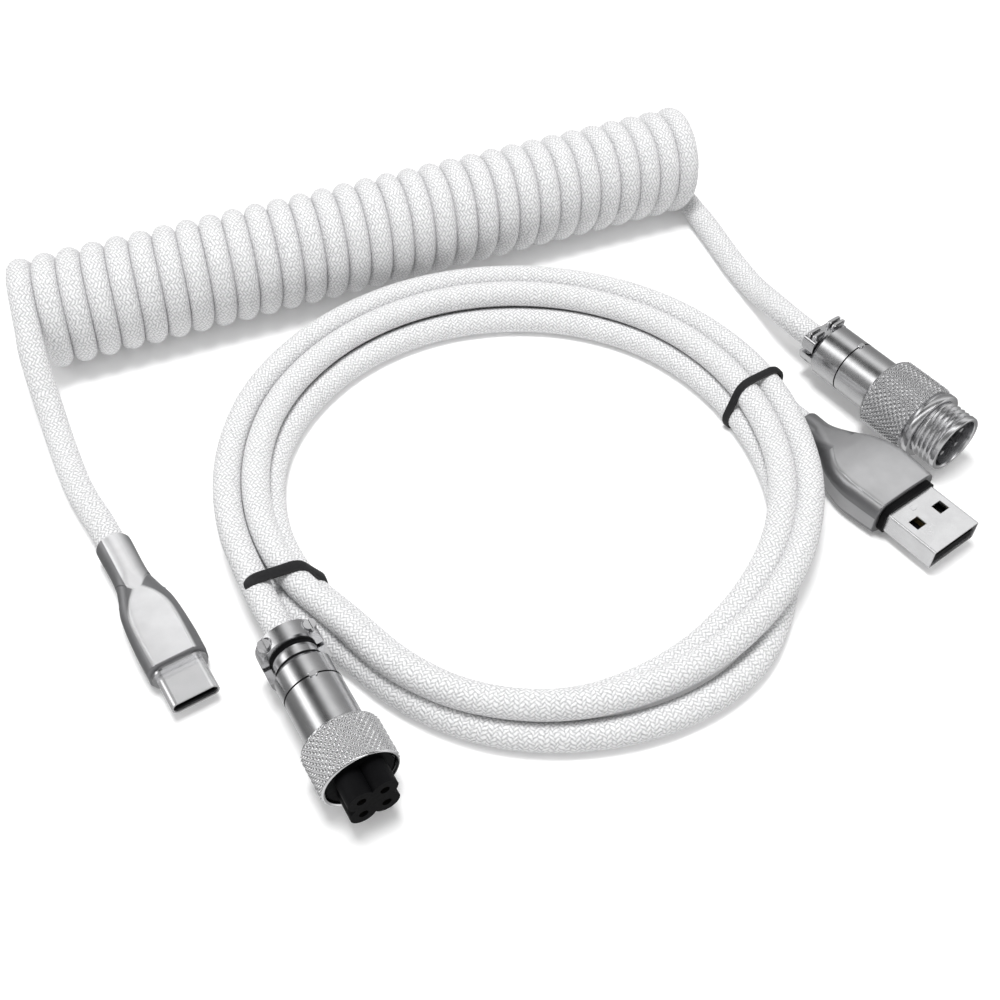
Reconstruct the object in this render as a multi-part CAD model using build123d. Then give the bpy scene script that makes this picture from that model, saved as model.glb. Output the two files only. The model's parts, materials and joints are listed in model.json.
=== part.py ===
from build123d import *
from math import cos, radians, sin, tan
import os

# A two-piece keyboard cable set lying on a desk. One piece is a coiled cord between a USB-C plug
# and a screw-lock connector with a male thread; the other is a plain cord tied up as a loop,
# between the matching socket connector and a USB-A plug. Millimetres, +Z up, the desk is z = 0,
# and the origin is under the middle of the four connectors.

# The cord and how it lies
CORD_D = 5.2
COIL_R = 11.7
COIL_HOLE_R = 6.5
COIL_START_X = -77.6
COIL_END_X = 77.0
COIL_Y = 71.7
LOOP_CENTRE = (3.8, 4.8)
HANK_HEIGHT = 9.7
BACK_HANK_WIDTH = 13.0
FRONT_HANK_WIDTH = 10.4
FRAME_SHIFT = (-7.81, 20.19)

# Where each connector's rear end lies: x, y, height of its axis, heading in degrees
USB_C_PLACE = (-69.85, 13.55, 3.31, -79.6)
THREADED_PLACE = (73.8, 10.1, 7.3, -75.6)
SOCKET_PLACE = (-46.6, -21.2, 7.65, -81.9)
USB_A_PLACE = (60.95, -7.65, 4.02, -75.0)
CORD_BORE_R = 2.65
CORD_IN = 3.6

# Screw-lock connector with the male thread
BARREL_R = 5.4
SLEEVE_R = 7.3
FLANGE_R = 7.1
THREAD_R = 6.0
THREAD_BORE_R = 5.1
THREADED_FRONT = 36.4
PIN_CIRCLE_R = 2.75
PIN_R = 0.5

# Screw-lock connector with the coupling nut
SOCKET_BARREL_R = 5.05
NECK_R = 4.6
SHOULDER_R = 5.3
NUT_R = 6.8
NUT_BORE_R = 4.68
NUT_THREAD_R = 6.05
NUT_REAR = 20.4
NUT_FRONT = 28.7
INSERT_R = 5.7
LOBE_R = 2.25
SOCKET_FRONT = 33.0

# USB plugs
USB_C_SHELL = (8.34, 2.56)
USB_C_FRONT = 37.7
USB_A_SHELL = (12.0, 4.5)
USB_A_FRONT = 37.0
SHELL_WALL = 0.3

ALONG_X = Rot(0, 90, 0)
ON_BASE = (Align.CENTER, Align.CENTER, Align.MIN)


def rod(radius, start, end, y=0.0, z=0.0):
    """A round bar along X from start to end."""
    return Pos(start, y, z) * ALONG_X * Cylinder(radius, end - start, align=ON_BASE)


def pipe(outer, inner, start, end):
    return rod(outer, start, end) - rod(inner, start, end)


def post(radius, y, z, top, x):
    """An upright round bar from z to top."""
    return Pos(x, y, z) * Cylinder(radius, top - z, align=ON_BASE)


def slab(width, height, corner, start, end, y=0.0, z=0.0):
    """A bar along X with a rounded rectangular section."""
    section = Plane.YZ.offset(start) * Pos(y, z) * RectangleRounded(width, height, corner)
    return extrude(section, amount=end - start)


def turned(*profile):
    """A turned piece, from its (station, radius) profile."""
    return revolve(make_face(Polyline(*profile, close=True)), Axis.X)


def blended(*stations):
    """A moulded body through (station, width, height, corner) sections."""
    sections = []
    for x, width, height, corner in stations:
        sections.append(Plane.YZ.offset(x) * RectangleRounded(width, height, corner))
    return loft(sections)


def wire(start, end, radius):
    """A straight conductor between two points."""
    run = Vector(*end) - Vector(*start)
    bar = Cylinder(radius, run.length, align=ON_BASE)
    return Plane(origin=start, z_dir=run).location * bar


def pin_places(radius=PIN_CIRCLE_R):
    return [(radius * cos(radians(a)), radius * sin(radians(a))) for a in (45, 135, 225, 315)]


def joined(pieces):
    return Compound([solid for piece in pieces for solid in piece.solids()])


def clamp_half(outer, start, end, low, high):
    """One half of a cord clamp: a round block cut flat, with the cord's trough through it."""
    block = rod(outer, start, end) & slab(3 * outer, high - low, 0.2, start, end, z=(low + high) / 2)
    return block - rod(CORD_BORE_R, start - 1, end + 1)


def threaded_parts():
    """The connector with the male thread, along +X from the rear of its cord clamp."""
    seat = 28.0
    pin_start = 24.0
    nodes = {}
    cap = turned((3.3, CORD_BORE_R), (3.3, 4.7), (4.1, BARREL_R), (10.2, BARREL_R),
                 (10.2, 4.3), (5.2, 4.3), (5.2, CORD_BORE_R))
    screw_y = 3.65
    screw_x = 1.65
    holes = [post(0.55, side * screw_y, -3.2, 6.0, screw_x) for side in (-1, 1)]
    foot = clamp_half(4.7, 0.0, 3.3, -4.9, -0.3)
    nodes["threaded_rear_cap"] = cap + foot - holes
    saddle = slab(9.4, 3.3, 0.9, 0.2, 3.1, z=1.95) - rod(CORD_BORE_R, -1, 4)
    nodes["threaded_cable_clamp"] = saddle - holes
    screws = []
    for side in (-1, 1):
        shank = post(0.55, side * screw_y, -3.2, 3.6, screw_x)
        head = post(0.95, side * screw_y, 3.6, 4.4, screw_x)
        slot = Pos(screw_x, side * screw_y, 4.4) * Box(2.4, 0.3, 0.7)
        screws.append(shank + head - slot)
    nodes["threaded_clamp_screws"] = joined(screws)
    nodes["threaded_barrel"] = turned((10.2, 4.3), (10.2, BARREL_R), (18.0, BARREL_R),
                                      (18.0, 4.9), (21.0, 4.9), (21.0, 4.3))
    shell = turned((18.0, 4.9), (18.0, 6.2), (18.6, 6.9), (19.6, SLEEVE_R), (28.6, SLEEVE_R), (29.0, 6.6),
                   (29.2, FLANGE_R), (30.8, FLANGE_R), (30.8, THREAD_R), (36.0, THREAD_R),
                   (THREADED_FRONT, 5.6), (THREADED_FRONT, THREAD_BORE_R), (seat, THREAD_BORE_R),
                   (seat, 4.3), (21.0, 4.3), (21.0, 4.9))
    key = Pos(34.7, 0, 4.85) * Box(2.6, 1.4, 0.9)
    nodes["threaded_front_shell"] = shell + key
    pins = [rod(PIN_R, pin_start, 35.4, y, z) for y, z in pin_places()]
    cups = [rod(0.85, pin_start, 27.4, y, z) - rod(0.5, 23.9, 26.0, y, z) for y, z in pin_places()]
    insulator = rod(THREAD_BORE_R, seat, 32.4)
    nodes["threaded_insulator"] = insulator - pins
    nodes["threaded_pins"] = joined([pin + cup for pin, cup in zip(pins, cups)])
    nodes["threaded_retaining_ring"] = pipe(THREAD_BORE_R, 4.5, 32.4, 33.0)
    wires = []
    for y, z in pin_places():
        wires.append(wire((CORD_IN + 0.4, 0.55 * y, 0.55 * z), (23.9, y, z), 0.4))
    nodes["threaded_conductors"] = joined(wires)
    return nodes


def socket_parts():
    """The connector with the coupling nut, along +X from the rear of its cord clamp."""
    shoulder = 25.3
    nodes = {}
    cap = turned((6.2, CORD_BORE_R), (6.2, 4.4), (7.0, SOCKET_BARREL_R), (11.0, SOCKET_BARREL_R),
                 (11.0, 4.2), (8.0, 4.2), (8.0, CORD_BORE_R))
    screw_y = 4.05
    screw_x = 1.7
    holes = [post(0.6, side * screw_y, -3.0, 7.0, screw_x) for side in (-1, 1)]
    foot = clamp_half(5.5, 0.0, 6.2, -5.0, -0.3)
    nodes["socket_rear_cap"] = cap + foot - holes
    seats = [post(1.4, side * screw_y, 3.6, 7.0, screw_x) for side in (-1, 1)]
    saddle = clamp_half(5.5, 0.1, 3.1, 0.3, 5.6) + clamp_half(4.0, 3.1, 5.6, 0.3, 4.0) - seats
    nodes["socket_cable_clamp"] = saddle - holes
    screws = []
    for side in (-1, 1):
        shank = post(0.6, side * screw_y, -3.0, 3.7, screw_x)
        head = post(1.05, side * screw_y, 3.7, 4.6, screw_x)
        slot = Pos(screw_x, side * screw_y, 4.6) * Box(2.6, 0.3, 0.7)
        screws.append(shank + head - slot)
    nodes["socket_clamp_screws"] = joined(screws)
    nodes["socket_barrel"] = turned((11.0, 4.2), (11.0, SOCKET_BARREL_R), (20.3, SOCKET_BARREL_R),
                                    (20.3, NECK_R), (shoulder, NECK_R), (shoulder, SHOULDER_R),
                                    (26.8, SHOULDER_R), (27.2, 4.9), (27.2, 3.7), (14.0, 3.7),
                                    (14.0, 4.2))
    nodes["socket_slip_washer"] = pipe(5.4, 4.66, 22.7, 23.4)
    nodes["socket_coupling_nut"] = turned((NUT_REAR, NUT_BORE_R), (NUT_REAR, 6.3), (20.9, NUT_R),
                                          (28.3, NUT_R), (NUT_FRONT, 6.5), (NUT_FRONT, NUT_THREAD_R),
                                          (22.6, NUT_THREAD_R), (22.6, NUT_BORE_R))
    holes = [rod(0.8, 16.0, SOCKET_FRONT + 1, y, z) for y, z in pin_places()]
    lobes = rod(2.6, 27.2, SOCKET_FRONT)
    for y, z in pin_places():
        lobes += rod(LOBE_R, 27.2, SOCKET_FRONT, y, z)
    body = rod(3.7, 17.0, 27.2) + rod(INSERT_R, 27.2, 28.2) + lobes
    nodes["socket_insulator"] = body - holes
    contacts = []
    for y, z in pin_places():
        contacts.append(rod(0.8, 14.5, 32.2, y, z) - rod(0.5, 27.0, 32.3, y, z))
    nodes["socket_contacts"] = joined(contacts)
    wires = []
    for y, z in pin_places():
        wires.append(wire((CORD_IN + 0.4, 0.55 * y, 0.55 * z), (14.4, y, z), 0.4))
    nodes["socket_conductors"] = joined(wires)
    return nodes


def usb_c_parts():
    """The USB-C plug, along +X from the rear of its collar."""
    width, height = USB_C_SHELL
    board_start = 16.0
    shell_start = 24.0
    lip = 30.5
    nodes = {}
    nodes["usb_c_collar"] = turned((0.0, CORD_BORE_R), (0.0, 3.0), (0.3, 3.2), (8.7, 3.2), (9.0, 3.0),
                                   (9.0, 2.0), (CORD_IN, 2.0), (CORD_IN, CORD_BORE_R))
    housing = blended((9.0, 6.3, 6.3, 3.1), (13.0, 7.8, 6.4, 2.9), (17.0, 9.8, 6.5, 2.7),
                      (25.0, 10.7, 6.6, 2.4), (lip, 10.6, 6.4, 2.2))
    pocket = slab(8.6, 4.6, 1.2, 15.0, lip)
    nodes["usb_c_housing"] = housing - rod(2.0, 8.0, 15.5) - pocket
    shell = slab(width, height, 1.2, shell_start, USB_C_FRONT)
    inside = slab(width - 2 * SHELL_WALL, height - 2 * SHELL_WALL, 0.9, shell_start, USB_C_FRONT)
    nodes["usb_c_shell"] = shell - inside
    slot = slab(6.8, 0.9, 0.2, 30.4, 37.3)
    carrier = slab(width - 2 * SHELL_WALL, height - 2 * SHELL_WALL, 0.9, shell_start, 37.3)
    nodes["usb_c_insulator"] = carrier - slot
    contacts = []
    for index in range(12):
        y = (index - 5.5) * 0.5
        for z in (-0.38, 0.38):
            contacts.append(Pos(33.4, y, z) * Box(5.6, 0.26, 0.14))
    nodes["usb_c_contacts"] = joined(contacts)
    latches = [Pos(33.4, side * 3.28, 0) * Box(5.0, 0.24, 0.5) for side in (-1, 1)]
    nodes["usb_c_latches"] = joined(latches)
    board = Pos((board_start + shell_start) / 2, 0, 0) * Box(shell_start - board_start, 7.4, 0.8)
    nodes["usb_c_board"] = board
    nodes["usb_c_front_ring"] = slab(9.7, 5.1, 2.2, lip, 31.3) - shell
    wires = []
    for index in range(4):
        y = (index - 1.5) * 1.0
        wires.append(rod(0.4, CORD_IN + 0.1, board_start, y))
    nodes["usb_c_conductors"] = joined(wires)
    nodes["usb_c_inner_mould"] = pocket - shell - board - wires
    return nodes


def usb_a_parts():
    """The USB-A plug, along +X from the rear of its neck."""
    width, height = USB_A_SHELL
    block_start = 19.0
    face = 25.0
    nodes = {}
    nodes["usb_a_neck"] = turned((0.0, CORD_BORE_R), (0.0, 3.0), (0.3, 3.15), (4.0, 3.15),
                                 (4.0, 2.0), (CORD_IN, 2.0), (CORD_IN, CORD_BORE_R))
    housing = blended((4.0, 6.3, 6.3, 3.1), (7.5, 8.9, 6.8, 2.9), (12.0, 13.9, 7.6, 2.5),
                      (17.0, 16.3, 8.0, 2.2), (21.0, 16.1, 8.0, 2.1), (face, 15.4, 7.8, 2.0))
    pocket = slab(12.8, 6.0, 1.5, 15.0, face)
    nodes["usb_a_housing"] = housing - rod(2.0, 3.0, 15.5) - pocket
    shell = slab(width, height, 0.5, block_start, USB_A_FRONT)
    inside = slab(width - 2 * SHELL_WALL, height - 2 * SHELL_WALL, 0.3, block_start, USB_A_FRONT)
    windows = [Pos(30.5, side * 3.1, 0) * Box(2.2, 2.4, 8.0) for side in (-1, 1)]
    nodes["usb_a_shell"] = shell - inside - windows
    block = slab(width - 2 * SHELL_WALL, height - 2 * SHELL_WALL, 0.3, block_start, 27.4)
    blade = Pos(32.0, 0, -0.98) * Box(9.2, 11.0, 1.86)
    nodes["usb_a_tongue"] = block + blade
    contacts = [Pos(31.8, y, 0.02) * Box(8.0, 1.0, 0.14) for y in (-3.5, -1.0, 1.0, 3.5)]
    nodes["usb_a_contacts"] = joined(contacts)
    nodes["usb_a_front_collar"] = slab(13.4, 6.4, 2.2, face, 26.2) - shell
    wires = [rod(0.4, CORD_IN + 0.1, block_start, y) for y in (-1.5, -0.5, 0.5, 1.5)]
    nodes["usb_a_conductors"] = joined(wires)
    nodes["usb_a_inner_mould"] = pocket - shell - wires
    return nodes


def axis_point(place, station):
    """The point on a connector's axis at a station from its rear end."""
    x, y, z, heading = place
    return (x + station * cos(radians(heading)), y + station * sin(radians(heading)), z)


def placed(nodes, place):
    x, y, z, heading = place
    forward = (cos(radians(heading)), sin(radians(heading)), 0)
    return {name: Plane(origin=(x, y, z), x_dir=forward, z_dir=(0, 0, 1)).location * piece
            for name, piece in nodes.items()}


def around_loop(angle, radius, z=HANK_HEIGHT / 2):
    """A point round the loop, by its angle and its distance from the middle."""
    x, y = LOOP_CENTRE
    return (x + radius * cos(radians(angle)), y + radius * sin(radians(angle)), z)


def route(name, points):
    """Straight runs joined by tangent arcs as large as the runs allow."""
    radii = []
    for before, at, after in zip(points, points[1:], points[2:]):
        into = Vector(*at) - Vector(*before)
        out = Vector(*after) - Vector(*at)
        turn = radians(into.get_angle(out))
        radii.append(0.45 * min(into.length, out.length) / tan(turn / 2))
    print(name, "radii", [round(radius, 1) for radius in radii])
    return FilletPolyline(*points, radius=radii)


def cord(name, points):
    """A stretch of cord, with its volume compared with its section times its length."""
    path = route(name, points)
    start = Plane(origin=path @ 0, z_dir=path % 0)
    tube = sweep(start * Circle(CORD_D / 2), path=path)
    print(name, "length", round(path.length, 1), "volume", round(tube.volume, 1),
          "section x length", round(path.length * 3.14159 * CORD_D ** 2 / 4, 1))
    return tube


def hank(name, width, stations):
    """The outer shape of the bundled strands along one side of the loop."""
    path = route(name, [around_loop(angle, radius) for angle, radius in stations])
    start = Plane(origin=path @ 0, x_dir=(path % 0).cross(Vector(0, 0, 1)), z_dir=path % 0)
    return sweep(start * RectangleRounded(width, HANK_HEIGHT, 2.5), path=path)


def tie(angle, tilt, radius, width, thick):
    """A rubber band round the bundle, a flat strip standing across it."""
    band = slab(width, 11.0, 3.0, -thick / 2, thick / 2, z=5.5)
    gap = slab(width - 2.4, 9.0, 2.2, -thick, thick, z=5.2)
    x, y, z = around_loop(angle, radius, 0)
    across = radians(tilt)
    return Plane(origin=(x, y, z), x_dir=(-sin(across), cos(across), 0)).location * (band - gap)


def cord_parts():
    """The cords as they lie, with the bands that tie the loop."""
    nodes = {}
    left = [(-75.0, 67.0, 19.4), (-75.1, 57.4, 13.0), (-74.9, 48.2, 5.4), (-74.4, 38.6, 2.6),
            (-73.3, 28.4, 2.6), axis_point(USB_C_PLACE, -6.5), axis_point(USB_C_PLACE, CORD_IN)]
    windings = Pos(0, COIL_Y, COIL_R) * rod(COIL_R, COIL_START_X, COIL_END_X)
    windings -= Pos(0, COIL_Y, COIL_R) * rod(COIL_HOLE_R, COIL_START_X - 1, COIL_END_X + 1)
    nodes["coil_windings"] = windings
    nodes["coil_left_tail"] = cord("coil_left_tail", left)
    right = [(74.3, 61.3, 2.6), (74.0, 53.0, 2.6), (73.3, 43.0, 2.6), (73.2, 33.5, 2.8),
             (72.7, 25.0, 5.2), axis_point(THREADED_PLACE, -6.5),
             axis_point(THREADED_PLACE, CORD_IN)]
    nodes["coil_right_tail"] = cord("coil_right_tail", right)
    back = [(196, 48.9), (166, 48.6), (136, 47.7), (106, 46.5), (76, 46.2), (48, 47.4),
            (22, 49.5), (-2, 50.7)]
    nodes["loop_hank_back"] = hank("loop_hank_back", BACK_HANK_WIDTH, back)
    front = [(2, 50.7), (-22, 52.2), (-46, 54.0), (-70, 55.9), (-94, 55.6), (-118, 52.2),
             (-142, 47.0), (-156, 45.3), (-168, 47.2)]
    nodes["loop_hank_front"] = hank("loop_hank_front", FRONT_HANK_WIDTH, front)
    socket_tail = [axis_point(SOCKET_PLACE, CORD_IN), axis_point(SOCKET_PLACE, -6.0),
                   around_loop(194, 52.8, 7.1)]
    nodes["loop_socket_tail"] = cord("loop_socket_tail", socket_tail)
    usb_tail = [around_loop(0, 52.6, 3.2), axis_point(USB_A_PLACE, -6.0),
                axis_point(USB_A_PLACE, CORD_IN)]
    nodes["loop_usb_tail"] = cord("loop_usb_tail", usb_tail)
    nodes["loop_tie_left"] = tie(195.2, 183, 49.2, 15.6, 2.0)
    nodes["loop_tie_right"] = tie(-2.9, 12, 51.5, 15.4, 1.6)
    return nodes


def main():
    os.makedirs("parts", exist_ok=True)
    nodes = {}
    nodes.update(placed(threaded_parts(), THREADED_PLACE))
    nodes.update(placed(socket_parts(), SOCKET_PLACE))
    nodes.update(placed(usb_c_parts(), USB_C_PLACE))
    nodes.update(placed(usb_a_parts(), USB_A_PLACE))
    box = Compound([solid for piece in nodes.values() for solid in piece.solids()]).bounding_box()
    print("connectors", box.min, box.max, box.center())
    nodes.update(cord_parts())
    shift = Pos(*FRAME_SHIFT, 0)
    for name, piece in nodes.items():
        export_step(shift * Compound(piece.solids()), f"parts/{name}.step")


main()
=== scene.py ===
import json
import math
import bpy
from mathutils import Matrix, Vector


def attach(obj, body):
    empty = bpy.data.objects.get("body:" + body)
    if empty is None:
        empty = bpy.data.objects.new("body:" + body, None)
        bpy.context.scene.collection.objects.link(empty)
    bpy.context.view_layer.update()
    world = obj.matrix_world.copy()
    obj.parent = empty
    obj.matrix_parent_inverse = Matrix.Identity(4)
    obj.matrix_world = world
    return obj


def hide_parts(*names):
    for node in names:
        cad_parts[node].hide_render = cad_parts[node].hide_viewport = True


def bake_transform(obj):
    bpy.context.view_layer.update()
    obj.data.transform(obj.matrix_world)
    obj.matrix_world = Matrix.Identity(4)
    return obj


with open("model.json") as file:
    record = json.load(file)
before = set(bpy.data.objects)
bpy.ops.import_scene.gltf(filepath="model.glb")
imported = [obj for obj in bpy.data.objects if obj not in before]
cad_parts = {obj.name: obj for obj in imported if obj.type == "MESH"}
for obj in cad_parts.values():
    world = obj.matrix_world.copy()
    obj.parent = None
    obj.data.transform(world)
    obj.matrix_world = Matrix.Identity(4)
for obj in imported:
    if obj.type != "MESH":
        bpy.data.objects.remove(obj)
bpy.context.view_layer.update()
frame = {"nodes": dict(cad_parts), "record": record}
scene = bpy.context.scene

MM = 0.001
SHIFT = (-7.81, 20.19)
CORD_R = 2.6
SQUEEZED_R = CORD_R - 0.14
USB_C = (-69.85, 13.55, 3.31, -79.6)
THREADED = (73.8, 10.1, 7.3, -75.6)
SOCKET = (-46.6, -21.2, 7.65, -81.9)
USB_A = (60.95, -7.65, 4.02, -75.0)
CORD_IN = 3.6
COIL_Y = 71.7
COIL_AXIS_Z = 11.7
COIL_MEAN_R = 9.1
COIL_PITCH = 4.85
COIL_FIRST_TOP = -73.55
COIL_LAST_DEGREES = 30 * 360 + 270
COIL_SIDES = 16
LOOP_CENTRE = (3.8, 4.8)
LOOP_SIDES = 18
TIE_THICKNESS = 0.9
KNURL_SEGMENTS = 304
DOME_RADIUS = 2.8
FLOOR_HALF = 3.0

# The camera looks at the middle of the table from its place in millimetres.
CAMERA_EYE = (-55.1, -137.2, 176.2)
CAMERA_LENS = 43.63

# The sky's ramp, as angles in degrees and brightness.
SKY_TURN = 88.0
SKY_LOW = -130.0
SKY_HIGH = 190.0
SKY_PEAK = 2.0
SKY = [(-130, 0.72), (-112, 0.60), (-98, 0.34), (-86, 0.17), (-60, 0.22), (-44, 0.26), (-34, 0.8),
       (-27, 1.7), (-19, 2.0), (-12, 1.6), (-4, 0.6), (6, 0.16), (16, 0.05), (26, 0.07), (36, 0.16),
       (46, 0.55), (57, 0.9), (70, 0.92), (84, 0.62), (98, 0.42), (114, 0.33), (140, 0.28), (160, 0.3),
       (190, 0.45)]

# The top lamp, with its place in millimetres, its width in metres and its power in watts.
LAMP_AT = (-30, 60, 560)
LAMP_WIDTH = 0.18
LAMP_POWER = 2.6


def spot(x, y, z):
    return Vector(((x + SHIFT[0]) * MM, (y + SHIFT[1]) * MM, z * MM))


def seat(place):
    """Local millimetres along a connector's axis to the row frame in metres."""
    x, y, z, heading = place
    turn = Matrix.Rotation(math.radians(heading), 4, "Z")
    return Matrix.Translation(spot(x, y, z)) @ turn @ Matrix.Scale(MM, 4)


def on_axis(place, station):
    return seat(place) @ Vector((station, 0, 0))


# ---------------------------------------------------------------- materials

class Nodes:
    """A material's node tree, built by short calls."""

    def __init__(self, name):
        self.material = bpy.data.materials.new(name)
        self.material.use_nodes = True
        self.tree = self.material.node_tree
        self.shader = self.tree.nodes["Principled BSDF"]

    def add(self, kind, **settings):
        node = self.tree.nodes.new(kind)
        for key, value in settings.items():
            setattr(node, key, value)
        return node

    def put(self, socket, value):
        if isinstance(value, bpy.types.NodeSocket):
            self.tree.links.new(value, socket)
        else:
            socket.default_value = value

    def math(self, operation, first, second=0.0, clamp=False):
        node = self.add("ShaderNodeMath", operation=operation, use_clamp=clamp)
        self.put(node.inputs[0], first)
        self.put(node.inputs[1], second)
        return node.outputs[0]

    def noise(self, scale, detail=2.0, stretch=(1, 1, 1), source=None):
        node = self.add("ShaderNodeTexNoise")
        node.inputs["Scale"].default_value = scale
        node.inputs["Detail"].default_value = detail
        mapping = self.add("ShaderNodeMapping")
        mapping.inputs["Scale"].default_value = stretch
        if source is None:
            source = self.add("ShaderNodeTexCoord").outputs["Object"]
        self.put(mapping.inputs["Vector"], source)
        self.put(node.inputs["Vector"], mapping.outputs[0])
        return node.outputs["Fac"]

    def span(self, value, low, high, to_low, to_high):
        node = self.add("ShaderNodeMapRange")
        for socket, setting in zip(node.inputs[:5], (value, low, high, to_low, to_high)):
            self.put(socket, setting)
        return node.outputs[0]

    def mix(self, factor, first, second):
        node = self.add("ShaderNodeMix", data_type="RGBA")
        self.put(node.inputs["Factor"], factor)
        self.put(node.inputs["A"], (*first, 1) if isinstance(first, tuple) else first)
        self.put(node.inputs["B"], (*second, 1) if isinstance(second, tuple) else second)
        return node.outputs["Result"]

    def bump(self, height, distance, strength=1.0, normal=None):
        node = self.add("ShaderNodeBump")
        self.put(node.inputs["Height"], height)
        node.inputs["Distance"].default_value = distance
        node.inputs["Strength"].default_value = strength
        if normal is not None:
            self.put(node.inputs["Normal"], normal)
        return node.outputs[0]

    def finish(self, **sockets):
        for name, value in sockets.items():
            name = name.replace("_", " ")
            if isinstance(value, tuple):
                value = (*value, 1)
            self.put(self.shader.inputs[name], value)
        return self.material


def braid_material():
    """White two-over-two braid, from the cord's own length and girth coordinates."""
    n = Nodes("white_braid_cord")
    carriers = 20
    repeat = 0.8
    split = n.add("ShaderNodeSeparateXYZ")
    n.put(split.inputs[0], n.add("ShaderNodeAttribute", attribute_name="cord_place").outputs["Vector"])
    girth = n.math("ARCTAN2", split.outputs["Y"], split.outputs["X"])
    stray = n.span(n.noise(800.0, 2.0), 0.25, 0.75, -0.4, 0.4)
    across = n.math("MULTIPLY", girth, carriers / (2 * math.pi))
    along = n.math("ADD", n.math("DIVIDE", split.outputs["Z"], repeat), stray)
    one = n.math("ADD", along, across)
    other = n.math("SUBTRACT", along, across)
    first_cell = n.math("FLOOR", one)
    second_cell = n.math("FLOOR", other)
    first_run = n.math("DIVIDE", n.math("FLOORED_MODULO", n.math("ADD", first_cell, other), 4.0), 2.0)
    second_start = n.math("ADD", n.math("ADD", one, second_cell), 2.0)
    second_run = n.math("DIVIDE", n.math("FLOORED_MODULO", second_start, 4.0), 2.0)
    over = n.math("LESS_THAN", first_run, 1.0)

    def yarn(position, run):
        crown = n.math("SINE", n.math("MULTIPLY", n.math("FRACT", position), math.pi))
        crown = n.math("POWER", crown, 0.6)
        float_shape = n.math("SINE", n.math("MULTIPLY", run, math.pi))
        float_shape = n.math("POWER", n.math("MAXIMUM", float_shape, 0.0), 0.7)
        lift = n.math("ADD", n.math("MULTIPLY", float_shape, 0.55), 0.45)
        fibres = n.math("SINE", n.math("MULTIPLY", position, 2 * math.pi * 5))
        threads = n.math("MULTIPLY", fibres, 0.05)
        return n.math("ADD", n.math("MULTIPLY", crown, lift), threads)

    first = yarn(one, first_run)
    second = yarn(other, second_run)
    height = n.math("ADD", n.math("MULTIPLY", over, first),
                    n.math("MULTIPLY", n.math("SUBTRACT", 1.0, over), second))
    fuzz = n.noise(2600.0, 3.0)
    height = n.math("ADD", height, n.math("MULTIPLY", n.math("SUBTRACT", fuzz, 0.5), 0.9))
    # Painted shade: the weave's grooves are darkened in colour by their depth, while the crowns stay pale.
    groove_shade_mask = n.span(height, 0.1, 0.9, 0.0, 1.0)
    shade = n.mix(groove_shade_mask, (0.44, 0.44, 0.45), (0.87, 0.87, 0.875))
    patch = n.span(n.noise(120.0, 2.0), 0.3, 0.7, 0.0, 0.10)
    colour = n.mix(patch, shade, (0.70, 0.70, 0.71))
    n.put(n.shader.inputs["Normal"], n.bump(height, 0.00014, 0.8))
    n.shader.inputs["Sheen Weight"].default_value = 0.25
    n.shader.inputs["Sheen Roughness"].default_value = 0.4
    return n.finish(Base_Color=colour, Roughness=0.72)


def metal_material(name, colour, rough, grain=0.00001, brushed=False, painted_shading=0.0, metallic=1.0):
    """Plated or brushed metal; its last mix darkens, as painted shade, the parts a mesh marks for it."""
    n = Nodes(name)
    stretch = (1, 14, 14) if brushed else (1, 1, 1)
    fine = n.noise(1400.0, 4.0, stretch)
    wide = n.noise(90.0, 3.0)
    smudge = n.span(wide, 0.35, 0.7, rough, rough + 0.12)
    roughness = n.math("ADD", smudge, n.math("MULTIPLY", fine, 0.08))
    darker = tuple(c * 0.82 for c in colour)
    tint = n.mix(n.span(n.noise(300.0, 3.0), 0.3, 0.75, 0.0, 0.55), colour, darker)
    # Painted shade: the marked parts are mixed towards near-black.
    if painted_shading:
        painted_shade = n.add("ShaderNodeAttribute", attribute_name="painted_shade").outputs["Fac"]
        tint = n.mix(n.math("MULTIPLY", painted_shade, painted_shading), tint, (0.05, 0.05, 0.055))
    n.put(n.shader.inputs["Normal"], n.bump(fine, grain, 0.6))
    n.shader.inputs["Metallic"].default_value = metallic
    return n.finish(Base_Color=tint, Roughness=roughness)


def plastic_material(name, colour, rough, grain=0.00003, dull=False):
    n = Nodes(name)
    if dull:
        n.shader.inputs["Specular IOR Level"].default_value = 0.08
    speckle = n.noise(1800.0, 4.0)
    lighter = tuple(min(1.0, c * 1.35 + 0.003) for c in colour)
    tint = n.mix(n.span(n.noise(200.0, 2.0), 0.35, 0.7, 0.0, 0.6), colour, lighter)
    roughness = n.span(speckle, 0.3, 0.7, rough, rough + 0.15)
    n.put(n.shader.inputs["Normal"], n.bump(speckle, grain, 0.5))
    return n.finish(Base_Color=tint, Roughness=roughness)


BRAID = braid_material()
NICKEL = metal_material("bright_nickel", (0.72, 0.72, 0.73), 0.12)
SATIN = metal_material("satin_zinc", (0.70, 0.70, 0.71), 0.27, 0.000006, painted_shading=0.7, metallic=0.85)
PALE_SATIN = metal_material("pale_satin_zinc", (0.92, 0.92, 0.93), 0.3, 0.000006, painted_shading=0.8,
                            metallic=0.6)
NUT_NICKEL = metal_material("nut_nickel", (0.90, 0.90, 0.91), 0.12)
STEEL = metal_material("plug_steel", (0.85, 0.85, 0.86), 0.14, 0.00001, brushed=True, metallic=0.75)
GOLD = metal_material("gold_flash", (0.86, 0.68, 0.36), 0.2)
COPPER = metal_material("bare_copper", (0.74, 0.42, 0.28), 0.3)
BLACK = plastic_material("black_nylon", (0.004, 0.004, 0.0045), 0.45, dull=True)
WHITE = plastic_material("white_moulding", (0.80, 0.80, 0.78), 0.4)
BOARD = plastic_material("circuit_board", (0.03, 0.16, 0.07), 0.35)
RUBBER = plastic_material("black_rubber", (0.008, 0.008, 0.009), 0.5, 0.00005)
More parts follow.
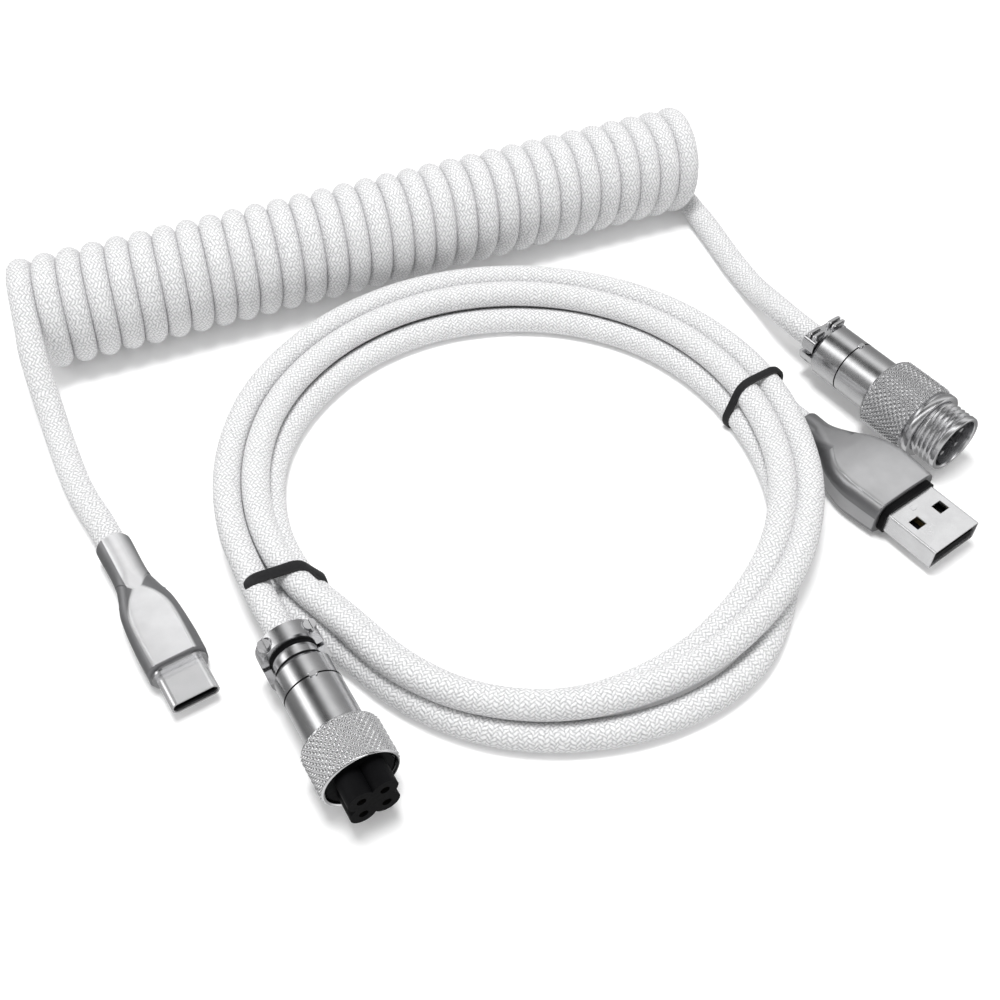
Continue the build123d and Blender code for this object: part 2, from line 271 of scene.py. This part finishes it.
SLOT_LOOKS = {"nickel": NICKEL, "satin_zinc": SATIN, "shell_steel": STEEL, "black_plastic": BLACK,
              "white_plastic": WHITE, "contact_gold": GOLD, "copper": COPPER, "board_green": BOARD,
              "white_braid": BRAID, "band_rubber": RUBBER}


# ------------------------------------------------------------------- meshes

def piece(name, verts, faces, place, material, body, sharp=34, instead=(), painted_shading=None):
    """A smooth-shaded mesh in a connector's own frame, riding on a body."""
    mesh = bpy.data.meshes.new(name)
    mesh.from_pydata([tuple(v) for v in verts], [], faces)
    mesh.transform(place)
    mesh.polygons.foreach_set("use_smooth", [True] * len(mesh.polygons))
    mesh.set_sharp_from_angle(angle=math.radians(sharp))
    # Per-vertex painted shade, read by the housing materials.
    if painted_shading:
        mesh.attributes.new("painted_shade", "FLOAT", "POINT").data.foreach_set("value", painted_shading)
    mesh.materials.append(material)
    obj = bpy.data.objects.new(name, mesh)
    scene.collection.objects.link(obj)
    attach(obj, body)
    if instead:
        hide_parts(*instead)
    return obj


def ring_faces(rings, count, closed=False):
    """Quads between successive rings of count vertices."""
    faces = []
    last = rings if closed else rings - 1
    for ring in range(last):
        here = ring * count
        there = ((ring + 1) % rings) * count
        for k in range(count):
            m = (k + 1) % count
            faces.append((here + k, here + m, there + m, there + k))
    return faces


def lathe(profile, segments=96):
    """A closed turned shape; each profile entry is (station, radius or a function of the angle)."""
    verts = []
    for station, radius in profile:
        for k in range(segments):
            angle = 2 * math.pi * k / segments
            r = radius(station, angle) if callable(radius) else radius
            verts.append((station, r * math.cos(angle), r * math.sin(angle)))
    return verts, ring_faces(len(profile), segments, closed=True)


def joined(*shapes):
    verts = []
    faces = []
    for some_verts, some_faces in shapes:
        base = len(verts)
        verts.extend(some_verts)
        faces.extend(tuple(base + k for k in face) for face in some_faces)
    return verts, faces


def tri(value):
    return 1 - abs(2 * (value % 1.0) - 1)


def knurl(radius, depth, count, pitch):
    """Diamond knurl: rounded bumps between two crossing sets of grooves."""
    def surface(station, angle):
        turn = angle * count / (2 * math.pi)
        first = 1 + math.cos(2 * math.pi * (station / pitch + turn))
        other = 1 + math.cos(2 * math.pi * (station / pitch - turn))
        return radius - depth + depth * (first * other / 4) ** 0.7
    return surface


def steps(start, end, count):
    return [start + (end - start) * k / count for k in range(count + 1)]


# -------------------------------------------------------------------- camera

def build_camera():
    camera = bpy.data.cameras.new("camera")
    camera.lens = CAMERA_LENS
    camera.sensor_width = 36.0
    camera.clip_start = 0.01
    eye = spot(*CAMERA_EYE)
    look = spot(0, 0, 0) - eye
    obj = bpy.data.objects.new("camera", camera)
    obj.location = eye
    obj.rotation_euler = look.to_track_quat("-Z", "Y").to_euler()
    scene.collection.objects.link(obj)
    scene.camera = obj


# --------------------------------------------------------------------- cords

def spline_line(name, points, resolution):
    """Points along one smooth spline through the cord's route."""
    curve = bpy.data.curves.new(name, "CURVE")
    curve.dimensions = "3D"
    curve.resolution_u = resolution
    spline = curve.splines.new("NURBS")
    spline.points.add(len(points) - 1)
    for point, at in zip(spline.points, points):
        point.co = (*at, 1)
    spline.order_u = 3
    spline.use_endpoint_u = True
    holder = bpy.data.objects.new(name, curve)
    scene.collection.objects.link(holder)
    bpy.context.view_layer.update()
    line = bpy.data.meshes.new_from_object(holder)
    found = [v.co.copy() for v in line.vertices]
    bpy.data.objects.remove(holder)
    bpy.data.meshes.remove(line)
    return found


def cord_tube(name, line, sides, thin=None):
    """A round tube along a line, carrying its girth direction and its length in millimetres.

    Where thin says so the cord is squeezed a little, as touching turns squeeze each other.
    """
    verts = []
    places = []
    tangents = []
    for k in range(len(line)):
        ahead = line[min(k + 1, len(line) - 1)]
        behind = line[max(k - 1, 0)]
        tangents.append((ahead - behind).normalized())
    side = tangents[0].orthogonal().normalized()
    length = 0.0
    for k, at in enumerate(line):
        if k:
            side = (side - tangents[k] * side.dot(tangents[k])).normalized()
            length += (at - line[k - 1]).length
        up = tangents[k].cross(side)
        for j in range(sides):
            angle = 2 * math.pi * j / sides
            out = side * math.cos(angle) + up * math.sin(angle)
            girth = SQUEEZED_R if thin and thin(at) else CORD_R
            verts.append(at + out * girth * MM)
            places.append((math.cos(angle), math.sin(angle), length / MM))
    faces = ring_faces(len(line), sides)
    faces.append(tuple(reversed(range(sides))))
    faces.append(tuple(range(len(verts) - sides, len(verts))))
    mesh = bpy.data.meshes.new(name)
    mesh.from_pydata(verts, [], faces)
    mesh.polygons.foreach_set("use_smooth", [True] * len(mesh.polygons))
    attribute = mesh.attributes.new("cord_place", "FLOAT_VECTOR", "POINT")
    attribute.data.foreach_set("vector", [value for place in places for value in place])
    mesh.materials.append(BRAID)
    obj = bpy.data.objects.new(name, mesh)
    scene.collection.objects.link(obj)
    return obj, length


def coil_route():
    """From the USB-C plug, up on to the coil, round its turns and down to the threaded end."""
    points = [on_axis(USB_C, CORD_IN), on_axis(USB_C, -6.5), spot(-73.3, 28.4, 2.6),
              spot(-74.4, 38.6, 2.6), spot(-74.9, 48.2, 5.4), spot(-75.1, 57.4, 13.0)]
    radius = COIL_MEAN_R / 0.9665
    for degrees in range(45, COIL_LAST_DEGREES + 1, 30):
        angle = math.radians(degrees)
        x = COIL_FIRST_TOP + COIL_PITCH * (degrees - 90) / 360
        y = COIL_Y - radius * math.cos(angle)
        points.append(spot(x, y, COIL_AXIS_Z + radius * math.sin(angle)))
    points += [spot(74.4, 70.0, 2.4), spot(74.3, 61.3, 2.6), spot(74.0, 53.0, 2.6),
               spot(73.3, 43.0, 2.6), spot(73.2, 33.5, 2.8), spot(72.7, 25.0, 5.2),
               on_axis(THREADED, -6.5), on_axis(THREADED, CORD_IN)]
    return points


def coil_cord():
    line = spline_line("coil_line", coil_route(), 4)
    turns_from = (COIL_Y + SHIFT[1] - 12.5) * MM
    obj, length = cord_tube("coil_cord", line, COIL_SIDES, thin=lambda at: at.y > turns_from)
    start = spot(-75, COIL_Y, COIL_AXIS_Z)
    end = spot(74.4, COIL_Y, COIL_AXIS_Z)
    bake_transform(obj)
    tails_from = (COIL_Y + SHIFT[1] - 14) * MM
    for at in line:
        share = min(max((at.x - start.x) / (end.x - start.x), 0.0), 1.0)
        if at.y < tails_from:
            share = round(share)
    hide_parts("coil_windings", "coil_left_tail", "coil_right_tail")
    print("coil cord length", round(length, 4))


LOOP_LAY = [
    (194, 52.8, 7.2), (176, 52.5, 7.1), (157, 52.2, 7.1), (138, 52.0, 7.1), (116, 51.2, 7.1),
    (93, 50.6, 7.1), (70, 50.5, 7.1), (47, 51.4, 7.1), (24, 53.1, 7.1), (0, 54.5, 7.1),
    (-24, 55.6, 7.1), (-44, 55.9, 7.3), (-62, 55.9, 7.7), (-80, 55.8, 7.2), (-100, 55.2, 7.1),
    (-118, 53.2, 7.1), (-134, 50.2, 7.1), (-150, 46.4, 7.1), (-166, 47.4, 7.1),
    (-184, 47.3, 7.1), (-203, 47.0, 7.1), (-222, 46.6, 7.1), (-244, 45.8, 7.1), (-267, 45.3, 7.1),
    (-290, 45.3, 7.1), (-313, 46.2, 7.1), (-336, 47.9, 7.1), (-360, 49.3, 7.1),
    (-384, 50.6, 7.1), (-404, 51.2, 7.1), (-422, 51.6, 6.2), (-440, 52.2, 4.0), (-460, 52.5, 2.6),
    (-478, 50.5, 2.6), (-494, 47.2, 2.6), (-510, 43.8, 2.6), (-526, 44.9, 2.6),
    (-544, 45.0, 2.6), (-563, 44.8, 2.6), (-582, 43.6, 2.6), (-604, 42.6, 2.6), (-627, 42.0, 2.6),
    (-650, 42.0, 2.6), (-673, 43.3, 2.6), (-696, 45.2, 2.6), (-720, 47.1, 2.6),
    (-744, 50.3, 2.6), (-764, 53.0, 2.6), (-778, 57.0, 2.6), (-792, 60.2, 2.6), (-810, 59.6, 2.6),
    (-830, 57.4, 2.6), (-848, 53.7, 2.6), (-867, 48.9, 2.6), (-884, 50.0, 2.6),
    (-902, 50.1, 2.6), (-922, 49.8, 2.6), (-942, 49.3, 2.6), (-964, 48.2, 2.6), (-987, 47.6, 2.6),
    (-1010, 47.7, 2.6), (-1033, 48.9, 2.6), (-1056, 51.1, 2.6), (-1074, 52.9, 2.8),
]


def loop_route():
    """Three and a half turns of plain cord, from the socket connector to the USB-A plug."""
    points = [on_axis(SOCKET, CORD_IN), on_axis(SOCKET, -4.0)]
    for degrees, radius, z in LOOP_LAY:
        angle = math.radians(degrees)
        stretch = radius / 0.981
        points.append(spot(LOOP_CENTRE[0] + stretch * math.cos(angle),
                           LOOP_CENTRE[1] + stretch * math.sin(angle), z))
    points += [on_axis(USB_A, -6.0), on_axis(USB_A, CORD_IN)]
    return points


def loop_cord():
    line = spline_line("loop_line", loop_route(), 14)
    obj, length = cord_tube("loop_cord", line, LOOP_SIDES)
    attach(obj, "loop_cable")
    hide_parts("loop_hank_back", "loop_hank_front", "loop_socket_tail", "loop_usb_tail")
    print("loop cord length", round(length, 4))


# ---------------------------------------------------------------------- ties

def hull(points):
    """The convex outline of some points in a plane."""
    points = sorted(set(points))

    def half(some):
        chain = []
        for p in some:
            while len(chain) > 1:
                a, b = chain[-2], chain[-1]
                if (b[0] - a[0]) * (p[1] - a[1]) - (b[1] - a[1]) * (p[0] - a[0]) > 0:
                    break
                chain.pop()
            chain.append(p)
        return chain[:-1]

    return half(points) + half(points[::-1])


def tie(name, strands, centre, across, width, node):
    """A rubber band pulled round the strands, each given by its place across the bundle and height."""
    around = []
    thick = TIE_THICKNESS
    gap = CORD_R + thick / 2 - 0.1
    for u, z in strands:
        for k in range(24):
            angle = 2 * math.pi * k / 24
            around.append((round(u + gap * math.cos(angle), 4),
                           round(max(z + gap * math.sin(angle), thick / 2), 4)))
    outline = hull(around)
    dense = []
    for k, (u, z) in enumerate(outline):
        u2, z2 = outline[(k + 1) % len(outline)]
        parts = max(1, round(math.hypot(u2 - u, z2 - z) / 0.8))
        for part in range(parts):
            dense.append((u + (u2 - u) * part / parts, z + (z2 - z) * part / parts))
    verts = []
    sides = 12
    count = len(dense)
    for k, (u, z) in enumerate(dense):
        u1, z1 = dense[k - 1]
        u2, z2 = dense[(k + 1) % count]
        run = Vector((u2 - u1, z2 - z1)).normalized()
        out = Vector((run.y, -run.x))
        skew = 0.35 * math.sin(2 * math.pi * k / count)
        for j in range(sides):
            angle = 2 * math.pi * j / sides
            wide = math.copysign(abs(math.cos(angle)) ** 0.5, math.cos(angle)) * width / 2
            deep = math.copysign(abs(math.sin(angle)) ** 0.7, math.sin(angle)) * thick / 2
            verts.append((wide + skew, u + out.x * deep, max(z + out.y * deep, 0.02)))
    turn = Matrix.Rotation(math.radians(across - 90), 4, "Z")
    place = Matrix.Translation(spot(centre[0], centre[1], 0)) @ turn @ Matrix.Scale(MM, 4)
    return piece(name, verts, ring_faces(count, sides, closed=True), place, RUBBER,
                 "loop_cable", instead=[node])


def build_ties():
    """Each band's line across the bundle passes through one point at one bearing."""
    for name, node, middle, across, reach, strands, width in (
            ("tie_band_left", "loop_tie_left", (-43.7, -8.1), 183, 49.2,
             [(52.9, 7.2), (47.5, 7.1), (50.2, 2.6), (45.0, 2.6)], 2.2),
            ("tie_band_right", "loop_tie_right", (55.3, 2.2), 12, 51.6,
             [(54.9, 7.1), (49.5, 7.1), (53.2, 2.6), (47.6, 2.6)], 1.6)):
        turn = math.radians(across)
        start = (middle[0] - reach * math.cos(turn), middle[1] - reach * math.sin(turn))
        tie(name, strands, start, across, width, node)


# ---------------------------------------------------------------- connectors

def threaded_shell():
    """Knurled sleeve, flange and male thread, with the bore and its key."""
    def thread(station, angle):
        start = min(1.0, max(0.0, (station - 31.2) / 0.4))
        stop = min(1.0, max(0.0, (35.5 - station) / 0.4))
        crest = tri(station / 1.02 - angle / (2 * math.pi))
        return 6.0 - 0.6 * (1 - crest ** 0.8) * start * stop

    grip = knurl(7.3, 0.46, 38, 1.2)
    profile = [(18.0, 4.9), (18.0, 5.9), (18.1, 6.2), (18.35, 6.6), (18.7, 6.9)]
    profile += [(s, grip) for s in steps(18.9, 28.35, 68)]
    profile += [(28.5, 6.85), (28.65, 6.3), (29.15, 6.3), (29.25, 6.8), (29.4, 6.95),
                (30.5, 6.95), (30.65, 6.8), (30.7, 5.5), (31.1, 5.5)]
    profile += [(s, thread) for s in steps(31.2, 35.5, 52)]
    profile += [(35.6, 5.95), (36.15, 5.95), (36.35, 5.8), (36.4, 5.55), (36.35, 5.3), (36.2, 5.15),
                (36.0, 5.1), (28.0, 5.1), (28.0, 4.3), (21.0, 4.3), (21.0, 4.9)]
    shell = lathe(profile, KNURL_SEGMENTS)
    section = [(-0.7, 5.2), (-0.7, 4.5), (-0.5, 4.35), (0.5, 4.35), (0.7, 4.5), (0.7, 5.2)]
    key = [(station, y, z) for station in (33.4, 36.0) for y, z in section]
    key_faces = ring_faces(2, 6) + [(5, 4, 3, 2, 1, 0), (6, 7, 8, 9, 10, 11)]
    verts, faces = joined(shell, (key, key_faces))
    piece("threaded_shell_knurled", verts, faces, seat(THREADED), NICKEL,
          "threaded_connector_end", sharp=50, instead=["threaded_front_shell"])


def coupling_nut():
    """The knurled nut, with its bore over the neck and a threaded mouth."""
    def thread(station, angle):
        return 6.05 + 0.22 * tri(station - angle / (2 * math.pi))

    grip = knurl(6.85, 0.44, 38, 1.12)
    profile = [(20.4, 4.68), (20.4, 6.0), (20.5, 6.3), (20.75, 6.5)]
    profile += [(s, grip) for s in steps(20.95, 28.2, 56)]
    profile += [(28.3, 6.6), (28.55, 6.55), (28.7, 6.4), (28.7, 6.3)]
    profile += [(s, thread) for s in steps(28.5, 22.8, 36)]
    profile += [(22.6, 6.05), (22.6, 4.68)]
    verts, faces = lathe(profile, KNURL_SEGMENTS)
    piece("coupling_nut_knurled", verts, faces, seat(SOCKET), NUT_NICKEL, "coupling_nut",
          sharp=50, instead=["socket_coupling_nut"])


def block(length, width, height, edge, centre):
    """A rounded block with sides along the axes; its centre is in the middle of its foot."""
    x, y, z = centre
    sides = 24
    outline = []
    for k in range(sides):
        angle = 2 * math.pi * (k + 0.5) / sides
        across = math.copysign(abs(math.cos(angle)) ** 0.45, math.cos(angle))
        along = math.copysign(abs(math.sin(angle)) ** 0.45, math.sin(angle))
        outline.append((along, across))
    verts = []
    for shrink, lift in ((edge, 0.0), (0.0, edge), (0.0, height - edge), (edge, height)):
        for along, across in outline:
            verts.append((x + along * (length / 2 - shrink), y + across * (width / 2 - shrink), z + lift))
    foot = tuple(range(sides - 1, -1, -1))
    top = tuple(range(3 * sides, 4 * sides))
    return verts, ring_faces(4, sides) + [foot, top]


def clamp_screws():
    """The threaded connector's clamp screws: broad heads side by side, each parted by its slot."""
    halves = []
    for side in (-1, 1):
        for station in (1.08, 2.2675):
            halves.append(block(0.95, 3.3, 1.15, 0.2, (station, side * 2.75, 3.6)))
    verts, faces = joined(*halves)
    piece("threaded_screw_heads", verts, faces, seat(THREADED), NICKEL,
          "threaded_connector_end", instead=["threaded_clamp_screws"])


def seam_tabs():
    """The small locking tab where each rear cap meets its barrel."""
    for name, place, body, station, radius in (
            ("threaded_seam_tab", THREADED, "threaded_connector_end", 10.2, 5.4),
            ("socket_seam_tab", SOCKET, "loop_cable", 11.0, 5.05)):
        verts, faces = block(1.0, 1.5, 0.5, 0.12, (station, 0.5, radius - 0.2))
        piece(name, verts, faces, seat(place), NICKEL, body)


def painted_seam_shadows():
    """Black rings that paint the shadow in each rear cap's joint and in the gaps beside the socket's clamp.
    """
    for name, place, body, station, radius, half in (
            ("threaded_seam_shadow_ring", THREADED, "threaded_connector_end", 10.2, 5.43, 0.13),
            ("socket_seam_shadow_ring", SOCKET, "loop_cable", 11.0, 5.08, 0.13),
            ("socket_clamp_gap_shadow_ring", SOCKET, "loop_cable", 3.4, 4.12, 0.28),
            ("socket_cap_gap_shadow_ring", SOCKET, "loop_cable", 5.9, 4.2, 0.28)):
        profile = [(station - half, radius - 0.25), (station - half, radius), (station + half, radius),
                   (station + half, radius - 0.25)]
        verts, faces = lathe(profile)
        piece(name, verts, faces, seat(place), BLACK, body)


def shell_dimple():
    """The pressed dimple on top of the USB-A shell, behind its windows."""
    verts, faces = block(1.1, 1.1, 0.16, 0.05, (27.7, -1.0, 2.2))
    piece("usb_a_shell_dimple", verts, faces, seat(USB_A), STEEL, "loop_cable")


def section_point(width, height, corner, share):
    """The place a share of the way round a rounded rectangle, from the middle of its top."""
    flat = width / 2 - corner
    side = height / 2 - corner
    arc = math.pi * corner / 2
    quadrant, run = divmod(share * 4, 1.0)
    if quadrant % 2:
        run = 1 - run
    run *= flat + side + arc
    if run < flat:
        y, z = run, height / 2
    elif run < flat + arc:
        angle = (run - flat) / corner
        y, z = flat + corner * math.sin(angle), side + corner * math.cos(angle)
    else:
        y, z = width / 2, side - (run - flat - arc)
    y_side, z_side = ((1, 1), (1, -1), (-1, -1), (-1, 1))[int(quadrant) % 4]
    return y * y_side, z * z_side


def eased(table, at):
    """Values between a table's rows, on a smooth curve through them."""
    at = min(max(at, table[0][0]), table[-1][0])
    k = 0
    while k < len(table) - 2 and table[k + 1][0] < at:
        k += 1
    before, start = table[max(k - 1, 0)], table[k]
    end, after = table[k + 1], table[min(k + 2, len(table) - 1)]
    run = end[0] - start[0]
    share = (at - start[0]) / run
    found = []
    for a, b, c, d in zip(before[1:], start[1:], end[1:], after[1:]):
        leave = (c - a) / (end[0] - before[0]) * run
        arrive = (d - b) / (after[0] - start[0]) * run
        found.append((2 * share ** 3 - 3 * share ** 2 + 1) * b
                     + (share ** 3 - 2 * share ** 2 + share) * leave
                     + (3 * share ** 2 - 2 * share ** 3) * c
                     + (share ** 3 - share ** 2) * arrive)
    return found


# Both plugs' moulded housings, in millimetres along the connector's axis. "stations" gives width, height
# and corner radius, "panel" the raised panel's half-width from its rear point on, and "pocket" the hollow.
# "slant" is how the seam runs back from that point, "both" whether the panel is set off on both sides,
# "soften" and "crease" how gently the painted shade on the recessed flanks and neck begins, "crown" the
# panel's rise and "dusk" how much painted shade darkens its rear end.
USB_A_SHAPE = {
    "stations": [(0.0, 6.0, 6.0, 2.98), (0.4, 6.3, 6.3, 3.13), (4.0, 6.4, 6.3, 3.12), (7.5, 8.9, 6.8, 2.9),
                 (12.0, 13.9, 7.5, 2.5), (17.0, 16.3, 7.9, 2.2), (21.0, 16.1, 7.8, 2.1),
                 (25.0, 15.4, 7.4, 2.0)],
    "panel": [(9.2, 2.8), (10.4, 3.9), (12.0, 5.2), (14.0, 6.2), (17.0, 6.7), (21.0, 6.7), (25.0, 6.4)],
    "pocket": [(25.0, 12.8, 6.0, 1.5), (15.0, 12.8, 6.0, 1.5), (15.0, 5.3, 5.3, 2.64),
               (0.0, 5.3, 5.3, 2.64)],
    "slant": 1.1, "both": False, "soften": 1.0, "crease": 1.6, "crown": 0.35, "dusk": 0.5,
}
USB_C_SHAPE = {
    "stations": [(0.0, 6.0, 6.0, 2.98), (0.4, 6.4, 6.4, 3.18), (9.0, 6.3, 6.3, 3.13),
                 (13.0, 7.8, 6.4, 2.9), (17.0, 9.8, 6.5, 2.7), (25.0, 10.7, 6.6, 2.4),
                 (30.5, 10.6, 6.4, 2.2)],
    "panel": [(13.7, 0.65), (14.6, 1.3), (15.8, 2.1), (18.2, 3.2), (20.5, 3.6), (25.0, 3.65), (30.5, 3.55)],
    "pocket": [(30.5, 8.6, 4.6, 1.2), (15.0, 8.6, 4.6, 1.2), (15.0, 5.3, 5.3, 2.64),
               (0.0, 5.3, 5.3, 2.64)],
    "slant": 1.35, "both": True, "soften": 0.45, "crease": 0.12, "crown": 0.3, "dusk": 0.0,
}
HOUSING_SIDES = 288
RING_SPACING = 0.16
ROLLED_EDGE = 0.3
WING_RECESS = 0.1
SEAM_HALF = 0.17
SEAM_DEPTH = 0.16
DUSK_END = 17.0
DUSK_LENGTH = 9.0


def past_panel(shape, s, y, z, width, corner):
    """How far a place on the skin lies outside the raised panel, and how much painted shade the neck gets
    there.
    """
    point, half = shape["panel"][0]
    reach = abs(y)
    neck = 0.0
    if s >= point:
        beyond = reach - eased(shape["panel"], s)[0]
    else:
        beyond = (s - point) + (reach - half) * shape["slant"] if reach > half else -1.0
        neck = (reach - 1.5) / shape["crease"] if y < 0 else (y - 1.3) / 1.6
    # The underside counts as outside the panel: recessed, and darkened with painted shade.
    if z < 0 and reach < width / 2 - 0.3 * corner:
        beyond = 1.0
    if z > 0 and y > 0 and not shape["both"]:
        beyond = -1.0
    return beyond, neck


def housing(name, shape, place, material, body, nodes):
    """A moulded metal housing: a raised top panel set off by a seam, with recessed flanks. The flanks,
    neck, underside, lower sides, front rim and hollow get painted shade, and so does the rear end where the
    shape asks for it.
    """
    rear, front = shape["stations"][0][0], shape["stations"][-1][0]
    rings = steps(rear, front, round((front - rear) / RING_SPACING))
    verts = []
    painted_shading = []
    for s in rings:
        width, height, corner = eased(shape["stations"], s)
        corner = min(corner, width / 2 - 0.02, height / 2 - 0.02)
        rim = min(1.0, (front - s) / 0.35)
        rolled = ROLLED_EDGE * (1 - math.sqrt(max(0.0, 1 - (1 - rim) ** 2)))
        dusk = shape["dusk"] * (DUSK_END - s) / DUSK_LENGTH
        for k in range(HOUSING_SIDES):
            y, z = section_point(width, height, corner, k / HOUSING_SIDES)
            beyond, neck = past_panel(shape, s, y, z, width, corner)
            # Painted shade on the recessed flanks and the neck, growing towards the rear end.
            painted_shade = min(1.0, max(0.0, beyond / shape["soften"], neck, dusk))
            # Painted shade on the lower sides.
            if z < 1.0 and abs(z) < height / 2 - corner + 0.3 and s > rear + 4:
                painted_shade = 0.45
            # Painted shade on the rolled front rim.
            if front - s < 0.3:
                painted_shade = 1.0
            seam = max(0.0, 1 - abs(beyond) / SEAM_HALF) if z > 0 else 0.0
            inset = rolled + WING_RECESS * min(1.0, max(0.0, beyond / 0.12)) + SEAM_DEPTH * seam
            away = math.hypot(y, z)
            dome = max(0.0, 1 - (2 * y / width) ** 2) * min(1.0, max(0.0, z)) * min(1.0, width / 7 - 0.9)
            z += shape["crown"] * dome
            verts.append((s, y * (1 - inset / away), z * (1 - inset / away)))
            painted_shading.append(painted_shade)
    # The hollow's skin gets full painted shade.
    for s, width, height, corner in shape["pocket"]:
        for k in range(HOUSING_SIDES):
            verts.append((s, *section_point(width, height, corner, k / HOUSING_SIDES)))
            painted_shading.append(1.0)
    faces = ring_faces(len(rings) + len(shape["pocket"]), HOUSING_SIDES, closed=True)
    piece(name, verts, faces, seat(place), material, body, sharp=42, instead=nodes,
          painted_shading=painted_shading)


def plug_housings():
    housing("usb_a_housing_moulded", USB_A_SHAPE, USB_A, SATIN, "loop_cable",
            ["usb_a_housing", "usb_a_neck"])
    housing("usb_c_housing_moulded", USB_C_SHAPE, USB_C, PALE_SATIN, "usb_c_end",
            ["usb_c_housing", "usb_c_collar"])


# ------------------------------------------------------------ CAD node looks

def dress_nodes():
    slots = {part["node"]: part["material_slot"] for part in frame["record"]["subparts"]}
    for name, obj in frame["nodes"].items():
        material = SLOT_LOOKS[slots[name]]
        obj.data.materials.clear()
        obj.data.materials.append(material)
        if slots[name] in ("nickel", "satin_zinc", "shell_steel", "black_plastic"):
            bevel = obj.modifiers.new("edge", "BEVEL")
            bevel.width = 0.00012
            bevel.segments = 2
            bevel.limit_method = "ANGLE"
            bevel.angle_limit = math.radians(40)


# --------------------------------------------------------------------- stage

def build_sky():
    """Soft boxes round the set as one ramp: a bright strip, a dark gap, then a wide soft glow."""
    world = bpy.data.worlds.new("studio")
    scene.world = world
    world.use_nodes = True
    tree = world.node_tree
    ways = tree.nodes.new("ShaderNodeTexCoord")
    split = tree.nodes.new("ShaderNodeSeparateXYZ")
    tree.links.new(ways.outputs["Generated"], split.inputs[0])

    def step(operation, first, second):
        node = tree.nodes.new("ShaderNodeMath")
        node.operation = operation
        for socket, value in zip(node.inputs, (first, second)):
            if isinstance(value, float):
                socket.default_value = value
            else:
                tree.links.new(value, socket)
        return node.outputs[0]

    turn = step("MULTIPLY", step("ARCTAN2", split.outputs["X"], split.outputs["Z"]), 180 / math.pi)
    place = step("ADD", turn, step("MULTIPLY", split.outputs["Y"], SKY_TURN))
    place = step("DIVIDE", step("SUBTRACT", place, SKY_LOW), SKY_HIGH - SKY_LOW)
    ramp = tree.nodes.new("ShaderNodeValToRGB")
    tree.links.new(place, ramp.inputs[0])
    stops = ramp.color_ramp.elements
    while len(stops) < len(SKY):
        stops.new(0.5)
    for stop, (at, _) in zip(stops, SKY):
        stop.position = (at - SKY_LOW) / (SKY_HIGH - SKY_LOW)
    for stop, (_, light) in zip(stops, SKY):
        share = light / SKY_PEAK
        stop.color = (share, share, share, 1)
    background = tree.nodes["Background"]
    tree.links.new(ramp.outputs[0], background.inputs["Color"])
    background.inputs["Strength"].default_value = SKY_PEAK


def stage_piece(name, verts, faces, look):
    mesh = bpy.data.meshes.new(name)
    mesh.from_pydata(verts, [], faces)
    mesh.materials.append(look.material)
    obj = bpy.data.objects.new(name, mesh)
    scene.collection.objects.link(obj)
    return obj


def build_backdrop():
    """A pale dome behind everything, which only the camera sees."""
    look = Nodes("pale_backdrop")
    look.shader.inputs["Specular IOR Level"].default_value = 0.0
    look.shader.inputs["Emission Color"].default_value = (1, 1, 1, 1)
    look.shader.inputs["Emission Strength"].default_value = 0.66
    look.finish(Base_Color=(0.0, 0.0, 0.0), Roughness=1.0)
    rises = steps(0.0, math.radians(89), 24)
    sides = 64
    verts = []
    for rise in rises:
        out = DOME_RADIUS * math.cos(rise)
        for k in range(sides):
            turn = 2 * math.pi * k / sides
            verts.append((out * math.cos(turn), out * math.sin(turn), DOME_RADIUS * math.sin(rise)))
    dome = stage_piece("backdrop", verts, ring_faces(len(rises), sides), look)
    for ray in ("diffuse", "glossy", "transmission", "volume_scatter", "shadow"):
        setattr(dome, "visible_" + ray, False)


def build_floor():
    look = Nodes("pale_floor")
    look.finish(Base_Color=(0.93, 0.93, 0.93), Roughness=0.6)
    look.shader.inputs["Emission Color"].default_value = (1, 1, 1, 1)
    look.shader.inputs["Emission Strength"].default_value = 0.12
    corners = [(x * FLOOR_HALF, y * FLOOR_HALF, 0) for x, y in ((-1, -1), (1, -1), (1, 1), (-1, 1))]
    floor = stage_piece("floor", corners, [(0, 1, 2, 3)], look)
    floor.visible_glossy = False


def build_lamp():
    """One wide lamp overhead, kept out of the metal's reflections."""
    light = bpy.data.lights.new("top", "AREA")
    light.size = LAMP_WIDTH
    light.energy = LAMP_POWER
    lamp = bpy.data.objects.new("top", light)
    lamp.location = Vector(LAMP_AT) * MM
    lamp.visible_glossy = False
    lamp.rotation_euler = (Vector((0, 0, 0)) - lamp.location).to_track_quat("-Z", "Y").to_euler()
    scene.collection.objects.link(lamp)


def build_stage():
    build_floor()
    build_sky()
    build_backdrop()
    build_lamp()
    scene.view_settings.view_transform = "Standard"


build_camera()
dress_nodes()
coil_cord()
loop_cord()
build_ties()
threaded_shell()
coupling_nut()
clamp_screws()
seam_tabs()
painted_seam_shadows()
shell_dimple()
plug_housings()
build_stage()
